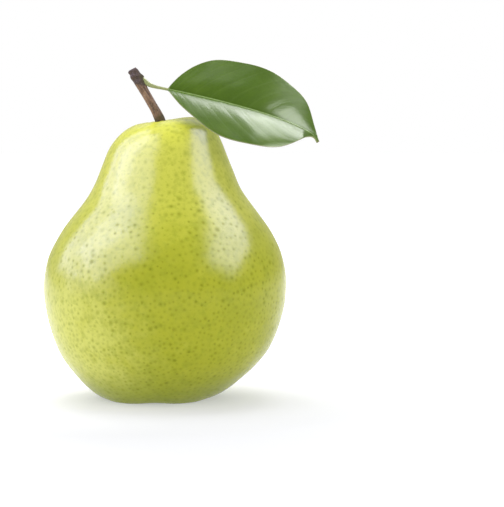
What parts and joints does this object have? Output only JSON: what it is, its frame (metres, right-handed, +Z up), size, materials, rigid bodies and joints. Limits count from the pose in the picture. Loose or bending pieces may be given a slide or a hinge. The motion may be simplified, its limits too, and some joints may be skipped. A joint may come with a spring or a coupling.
{
  "type": "pear",
  "caption": "Ripe green pear standing upright, with a woody stem and a glossy leaf on the stem.",
  "frame": {"origin": "on the surface the pear stands on, below the middle of the whole part's bounding box", "axes": "+Z up along the fruit, +X to the right, where the leaf points, -Y to the front"},
  "size_m": [0.0904, 0.0792, 0.1112],
  "materials": {
    "skin": "waxy yellow-green pear skin, satin gloss, fine olive dots all over",
    "woody_stem": "dry red-brown bark, greyer and darker at the cut knob",
    "leaf_blade": "dark green leathery leaf, glossy above, paler and dull below, light midrib",
    "dried_calyx": "dry brown withered sepals"
  },
  "bodies": {
    "root": {"fruit": "skin", "stem": "woody_stem", "leaf": "leaf_blade", "calyx": "dried_calyx"}
  },
  "joints": []
}
